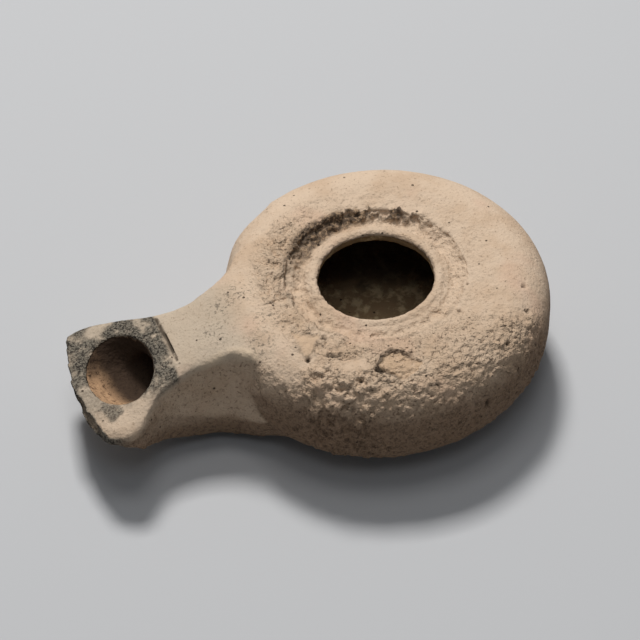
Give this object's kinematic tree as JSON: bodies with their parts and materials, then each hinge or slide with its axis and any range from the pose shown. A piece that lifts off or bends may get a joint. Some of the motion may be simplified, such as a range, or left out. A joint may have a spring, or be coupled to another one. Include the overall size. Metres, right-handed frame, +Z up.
{
  "type": "terracotta oil lamp",
  "caption": "Small wheel-thrown clay oil lamp with a wide filling hole, a channelled lip and a flared, knife-pared nozzle with an open wick hole; sooted and worn.",
  "frame": {"origin": "centre of the flat base, on the axis of the bowl", "axes": "+Z up out of the base; the nozzle points along -X; +Y is the side away from the picture's camera"},
  "size_m": [0.0903, 0.0594, 0.0253],
  "materials": {
    "fired_clay": "unglazed buff clay, matt, worn and crusted, sooted at the wick hole"
  },
  "bodies": {
    "root": {"lamp": "fired_clay"}
  },
  "joints": []
}
